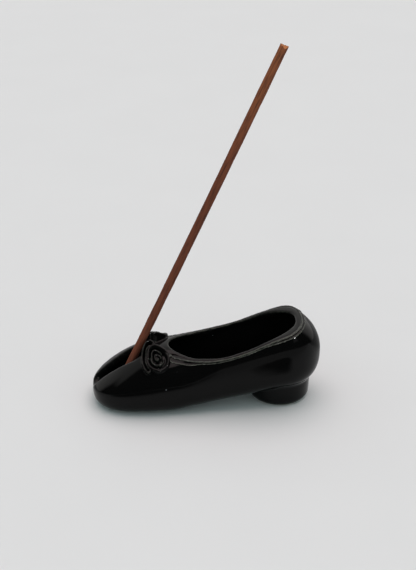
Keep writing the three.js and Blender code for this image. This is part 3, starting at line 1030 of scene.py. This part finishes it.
def studio_sky(stage):
    """An even pale studio. The glaze mirrors black flags that hang all round the front, and sees the pale
    studio only straight above, behind, and through a high window on the left."""
    world = bpy.data.worlds.new("studio_room")
    bpy.context.scene.world = world
    world.use_nodes = True
    tree = world.node_tree
    tree.nodes.clear()
    direction = add(tree, "ShaderNodeTexCoord").outputs["Generated"]
    parts = add(tree, "ShaderNodeSeparateXYZ", {"Vector": direction})
    in_front = add(
        tree, "ShaderNodeMapRange",
        {"Value": parts.outputs["Y"], "From Min": 0.42, "From Max": 0.15},
        interpolation_type="SMOOTHSTEP",
    ).outputs["Result"]
    below_ceiling = add(
        tree, "ShaderNodeMapRange",
        {"Value": parts.outputs["Z"], "From Min": 0.97, "From Max": 0.9},
        interpolation_type="SMOOTHSTEP",
    ).outputs["Result"]
    dark = add(tree, "ShaderNodeMath", {0: in_front, 1: below_ceiling}, operation="MULTIPLY").outputs[0]
    to_the_left = add(tree, "ShaderNodeVectorMath", {0: direction, 1: (-0.6, 1, 0)}, operation="DOT_PRODUCT")
    off_window = add(
        tree, "ShaderNodeMapRange",
        {"Value": to_the_left.outputs["Value"], "From Min": 0.5, "From Max": 0.25},
        interpolation_type="SMOOTHSTEP",
    ).outputs["Result"]
    below_window = add(
        tree, "ShaderNodeMapRange",
        {"Value": parts.outputs["Z"], "From Min": 0.7, "From Max": 0.5},
        interpolation_type="SMOOTHSTEP",
    ).outputs["Result"]
    off_window = add(tree, "ShaderNodeMath", {0: off_window, 1: below_window}, operation="MAXIMUM").outputs[0]
    dark = add(tree, "ShaderNodeMath", {0: dark, 1: off_window}, operation="MULTIPLY").outputs[0]
    path = add(tree, "ShaderNodeLightPath")
    in_glaze = add(
        tree, "ShaderNodeMix",
        {0: dark, 6: solid(stage.pale_room), 7: solid(stage.room)},
        data_type="RGBA",
    ).outputs[2]
    fill = solid([stage.fill * c for c in stage.sky])
    tint = add(
        tree, "ShaderNodeMix",
        {0: path.outputs["Is Glossy Ray"], 6: fill, 7: in_glaze},
        data_type="RGBA",
    ).outputs[2]
    tint = add(
        tree, "ShaderNodeMix",
        {0: path.outputs["Is Camera Ray"], 6: tint, 7: solid(stage.floor)},
        data_type="RGBA",
    ).outputs[2]
    background = add(tree, "ShaderNodeBackground", {"Color": tint, "Strength": 1})
    add(tree, "ShaderNodeOutputWorld", {"Surface": background.outputs["Background"]})


KEY_LIGHT = {"place": (0.15, 0.25, 1.5), "spread": 67, "tint": "FFE3E4"}
# Lamps that show only in the glaze: name, place and width in metres, and watts.
GLINTS = (
    ("front_bulb", (0.07, -0.83, 1), 0.07, 6),
    ("side_bulb", (0.71, -0.64, 0.72), 0.07, 3),
    ("side_glow", (0.7, -0.7, 0.6), 0.5, 0.35),
)
# Target in millimetres, azimuth and pitch in degrees, sensor in millimetres, nearest in metres.
CAMERA = {"target": (0.981, 0, 62.472), "azimuth": -3.595, "pitch": 26.413, "sensor": 36, "nearest": 0.01}


def hung(light, place):
    """The object that holds a light at a place, in metres, and faces it at the burner."""
    holder = bpy.data.objects.new(light.name, light)
    holder.location = place
    holder.rotation_euler = Vector(place).to_track_quat("Z", "Y").to_euler()
    bpy.context.scene.collection.objects.link(holder)
    return holder


def overhead_light(stage):
    """One very wide, soft, slightly warm light from above, the same all over the floor."""
    light = bpy.data.lights.new("overhead_light", "SUN")
    light.color = linear(KEY_LIGHT["tint"])
    light.energy = stage.key
    light.angle = math.radians(KEY_LIGHT["spread"])
    hung(light, KEY_LIGHT["place"])


def glint(name, place, size, energy):
    """A small square lamp, in metres and watts, that shows only in the glaze."""
    light = bpy.data.lights.new(name, "AREA")
    light.size = size
    light.energy = energy
    hung(light, place).visible_diffuse = False


class BURNER_OT_stage(bpy.types.Operator):
    """Makes the pale floor, the soft studio light and the camera"""

    bl_idname = "burner.stage"
    bl_label = "Stage"

    def execute(self, context):
        stage = context.scene.burner_stage
        half = 4
        corners = [(-half, -half, 0), (half, -half, 0), (half, half, 0), (-half, half, 0)]
        mesh = bpy.data.meshes.new("floor")
        mesh.from_pydata(corners, [], [(0, 1, 2, 3)])
        mesh.materials.append(pale_laminate())
        floor = bpy.data.objects.new("floor", mesh)
        context.scene.collection.objects.link(floor)
        studio_sky(stage)
        overhead_light(stage)
        for name, place, size, energy in GLINTS:
            glint(name, place, size, energy)
        self.add_camera(context, stage)
        context.scene.view_settings.view_transform = "Standard"
        return {"FINISHED"}

    def add_camera(self, context, stage):
        """The camera stands in front, a little to the toe side, and looks down at the slipper."""
        target = Vector(CAMERA["target"]) * MM
        azimuth, pitch = math.radians(CAMERA["azimuth"]), math.radians(CAMERA["pitch"])
        back = Vector((math.sin(azimuth), -math.cos(azimuth), math.tan(pitch))).normalized()
        data = bpy.data.cameras.new("camera")
        data.lens = stage.focal / MM
        data.sensor_width = data.sensor_height = CAMERA["sensor"]
        data.clip_start = CAMERA["nearest"]
        camera = bpy.data.objects.new("camera", data)
        camera.location = target + back * stage.distance
        camera.rotation_euler = back.to_track_quat("Z", "Y").to_euler()
        context.scene.collection.objects.link(camera)
        context.scene.camera = camera


# ---- The add-on

PIECES = (
    BURNER_OT_shell,
    BURNER_OT_foot,
    BURNER_OT_heel,
    BURNER_OT_binding,
    BURNER_OT_roses,
    BURNER_OT_socket,
    BURNER_OT_incense,
    BURNER_OT_stage,
)
SETTINGS = {"burner_sizes": SlipperSizes, "burner_colours": FinishColours, "burner_stage": StageSettings}


class BURNER_PT_panel(bpy.types.Panel):
    """Lists the burner's pieces, and the sizes and colours behind them"""

    bl_idname = "BURNER_PT_panel"
    bl_label = "Slipper Incense Burner"
    bl_space_type = "VIEW_3D"
    bl_region_type = "UI"
    bl_category = "Burner"

    def draw(self, context):
        for piece in PIECES:
            self.layout.operator(piece.bl_idname)
        for name, group in SETTINGS.items():
            box = self.layout.box()
            for setting in group.__annotations__:
                box.prop(getattr(context.scene, name), setting)


def register():
    for group in (*SETTINGS.values(), *PIECES, BURNER_PT_panel):
        bpy.utils.register_class(group)
    for name, group in SETTINGS.items():
        setattr(bpy.types.Scene, name, PointerProperty(type=group))


def unregister():
    for name in SETTINGS:
        delattr(bpy.types.Scene, name)
    for group in (BURNER_PT_panel, *PIECES, *SETTINGS.values()):
        bpy.utils.unregister_class(group)


def main():
    register()
    bpy.ops.burner.stage()
    bpy.ops.burner.shell()
    bpy.ops.burner.foot()
    bpy.ops.burner.heel()
    bpy.ops.burner.binding()
    bpy.ops.burner.roses()
    bpy.ops.burner.socket()
    bpy.ops.burner.incense()


if __name__ == "__main__":
    main()
